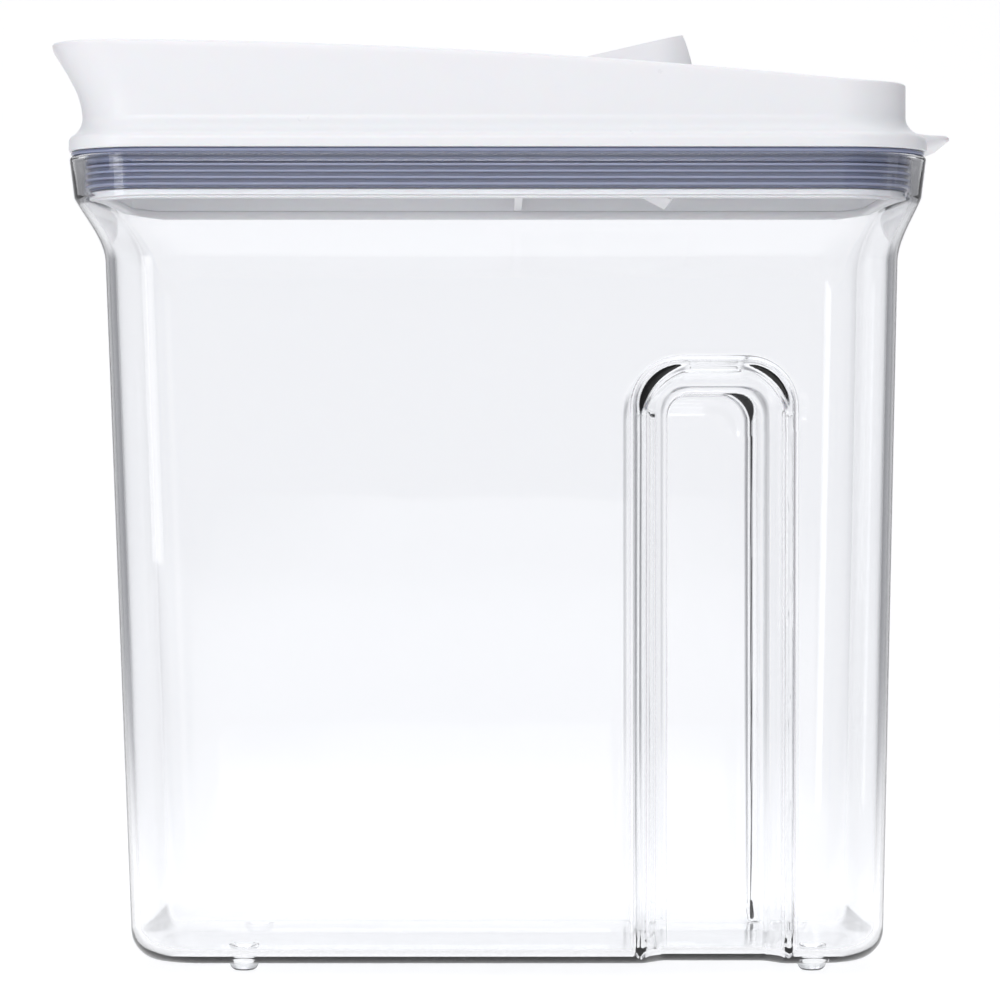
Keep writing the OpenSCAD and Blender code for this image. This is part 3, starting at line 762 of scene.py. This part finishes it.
sweep_half_width, sweep_near = 4.0, -4.0
sweep_bend, sweep_start, sweep_top = 0.7, 1.3, 2.6
curve_turns = [math.radians(a) for a in range(0, 91, 5)]
sweep_path = [(sweep_near, 0.0)]
sweep_path += [(sweep_start + sweep_bend * math.sin(a), sweep_bend * (1 - math.cos(a))) for a in curve_turns]
sweep_path.append((sweep_start + sweep_bend, sweep_top))
sweep_mesh = bpy.data.meshes.new("paper_sweep")
sweep_mesh.from_pydata([(side * sweep_half_width, y, z) for y, z in sweep_path for side in (-1, 1)], [],
                       [(2 * i, 2 * i + 1, 2 * i + 3, 2 * i + 2) for i in range(len(sweep_path) - 1)])
sweep_mesh.polygons.foreach_set("use_smooth", [True] * len(sweep_mesh.polygons))
paper_sweep = bpy.data.objects.new("paper_sweep", sweep_mesh)
bpy.context.collection.objects.link(paper_sweep)

# The paper glows, a painted pool of light: white along the middle, wider towards the back, and falls off to
# pale grey at the sides. Distances sideways count in half widths of the glowing middle.
glow_half_width, glow_widening, least_glow_half_width = 0.17, 0.12, 0.1
glow_ends_at, falloff_slope = 2.8, 0.62
paper_glow = 0.56
paper = bpy.data.materials.new("white paper")
paper.use_nodes = True
paper_nodes, paper_links = paper.node_tree.nodes, paper.node_tree.links
paper_shader = paper_nodes["Principled BSDF"]
paper_shader.inputs["Base Color"].default_value = (0.62, 0.62, 0.63, 1)
paper_shader.inputs["Roughness"].default_value = 0.8
paper_shader.inputs["Specular IOR Level"].default_value = 0.0
paper_shader.inputs["Emission Color"].default_value = (1, 1, 1, 1)


def worked_out(operation, *values, clamp=False):
    """A sum on numbers or on other nodes' results, as a node of the paper."""
    node = paper_nodes.new("ShaderNodeMath")
    node.operation = operation
    node.use_clamp = clamp
    for socket, value in zip(node.inputs, values):
        if isinstance(value, (int, float)):
            socket.default_value = value
        else:
            paper_links.new(value, socket)
    return node.outputs["Value"]


paper_place = paper_nodes.new("ShaderNodeTexCoord")
paper_axes = paper_nodes.new("ShaderNodeSeparateXYZ")
paper_links.new(paper_place.outputs["Object"], paper_axes.inputs["Vector"])
widened = worked_out("MULTIPLY_ADD", paper_axes.outputs["Y"], glow_widening, glow_half_width)
sideways = worked_out("DIVIDE", worked_out("ABSOLUTE", paper_axes.outputs["X"]),
                      worked_out("MAXIMUM", widened, least_glow_half_width))
falloff = worked_out("MULTIPLY", worked_out("SUBTRACT", glow_ends_at, sideways), falloff_slope, clamp=True)
# Painted light: the paper's own emission makes the bright middle, fading out sideways.
paper_links.new(worked_out("MULTIPLY", falloff, paper_glow), paper_shader.inputs["Emission Strength"])
sweep_mesh.materials.append(paper)


def soft_light(name, place, target, width, height, power):
    """A rectangular lamp, in metres and watts, turned to face its target."""
    lamp = bpy.data.lights.new(name, "AREA")
    lamp.shape, lamp.size, lamp.size_y, lamp.energy = "RECTANGLE", width, height, power
    light = bpy.data.objects.new(name, lamp)
    light.location = place
    light.rotation_euler = (Vector(target) - Vector(place)).to_track_quat("-Z", "Y").to_euler()
    bpy.context.collection.objects.link(light)


soft_light("overhead", (0, 0.1, 1.4), (0, 0, 0.1), width=1.4, height=1.2, power=6)
soft_light("front", (-0.5, -1.8, 1.0), (0, 0, 0.16), width=1.4, height=0.7, power=11.5)
soft_light("left", (-1.3, -0.9, 0.5), (0, 0, 0.14), width=0.4, height=1.2, power=4)
soft_light("right", (1.6, -0.4, 0.5), (0, 0, 0.14), width=0.25, height=1.2, power=0.7)

# The room round the studio is grey, a little paler towards the ceiling.
room_low, room_high, room_brightness = (0.5, 0.5, 0.52), (0.7, 0.71, 0.74), 0.75
world = bpy.data.worlds.new("studio")
bpy.context.scene.world = world
world.use_nodes = True
room_nodes, room_links = world.node_tree.nodes, world.node_tree.links
direction = room_nodes.new("ShaderNodeTexCoord")
parts = room_nodes.new("ShaderNodeSeparateXYZ")
height_ramp = room_nodes.new("ShaderNodeValToRGB")
for stop, position, grey in zip(height_ramp.color_ramp.elements, (0.0, 0.6), (room_low, room_high)):
    stop.position, stop.color = position, (*grey, 1)
room_links.new(direction.outputs["Generated"], parts.inputs["Vector"])
room_links.new(parts.outputs["Z"], height_ramp.inputs["Fac"])
room_links.new(height_ramp.outputs["Color"], room_nodes["Background"].inputs["Color"])
room_nodes["Background"].inputs["Strength"].default_value = room_brightness

view_height = 0.1193
view_side = -0.00025
view_distance = 1.3
view_width = 0.262
film_width = 36
camera_data = bpy.data.cameras.new("camera")
camera_data.sensor_width = film_width
camera_data.lens = film_width * view_distance / view_width
camera = bpy.data.objects.new("camera", camera_data)
camera.location = (view_side, -view_distance, view_height)
camera.rotation_euler = (math.radians(90), 0, 0)
bpy.context.collection.objects.link(camera)
bpy.context.scene.camera = camera
bpy.context.scene.view_settings.view_transform = "Standard"
